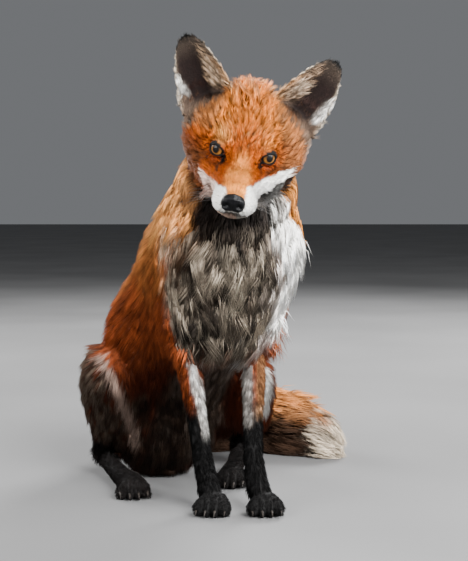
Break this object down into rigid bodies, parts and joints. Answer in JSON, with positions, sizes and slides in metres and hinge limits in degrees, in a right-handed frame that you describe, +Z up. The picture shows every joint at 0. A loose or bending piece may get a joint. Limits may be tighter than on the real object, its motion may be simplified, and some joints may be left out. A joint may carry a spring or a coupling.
{
  "type": "fox",
  "caption": "Sitting red fox, life size, with its head tilted, ears up, forelegs straight and the tail laid round beside it.",
  "frame": {"origin": "middle of the footprint of the whole animal, tail included, at floor level", "axes": "+Z up from the floor, -Y the way the fox sits facing, +X to the fox's own left, where the tip of the tail lies"},
  "size_m": [0.3424, 0.542, 0.5196],
  "materials": {
    "rust_coat": "fur, rust red with grey and cream locks",
    "pale_coat": "short fur, cream",
    "black_coat": "short fur, near black",
    "brush_coat": "long loose fur, brown with a pale tip",
    "eye": "wet amber iris under a clear cornea",
    "nose_leather": "damp, finely pebbled",
    "claw": "worn dark horn"
  },
  "bodies": {
    "root": {"head": "rust_coat", "lower_jaw": "pale_coat", "nose": "nose_leather", "neck": "rust_coat", "trunk": "rust_coat", "eye_left": "eye", "ear_left": "black_coat", "foreleg_left": "rust_coat", "forepaw_left": "black_coat", "thigh_left": "rust_coat", "shank_left": "rust_coat", "hindpaw_left": "black_coat", "claw_fore_left_1": "claw", "claw_fore_left_2": "claw", "claw_fore_left_3": "claw", "claw_fore_left_4": "claw", "claw_hind_left_1": "claw", "claw_hind_left_2": "claw", "claw_hind_left_3": "claw", "claw_hind_left_4": "claw", "eye_right": "eye", "ear_right": "black_coat", "foreleg_right": "rust_coat", "forepaw_right": "black_coat", "thigh_right": "rust_coat", "shank_right": "rust_coat", "hindpaw_right": "black_coat", "claw_fore_right_1": "claw", "claw_fore_right_2": "claw", "claw_fore_right_3": "claw", "claw_fore_right_4": "claw", "claw_hind_right_1": "claw", "claw_hind_right_2": "claw", "claw_hind_right_3": "claw", "claw_hind_right_4": "claw", "tail_root": "brush_coat", "tail_brush": "brush_coat", "tail_tip": "brush_coat"}
  },
  "joints": []
}
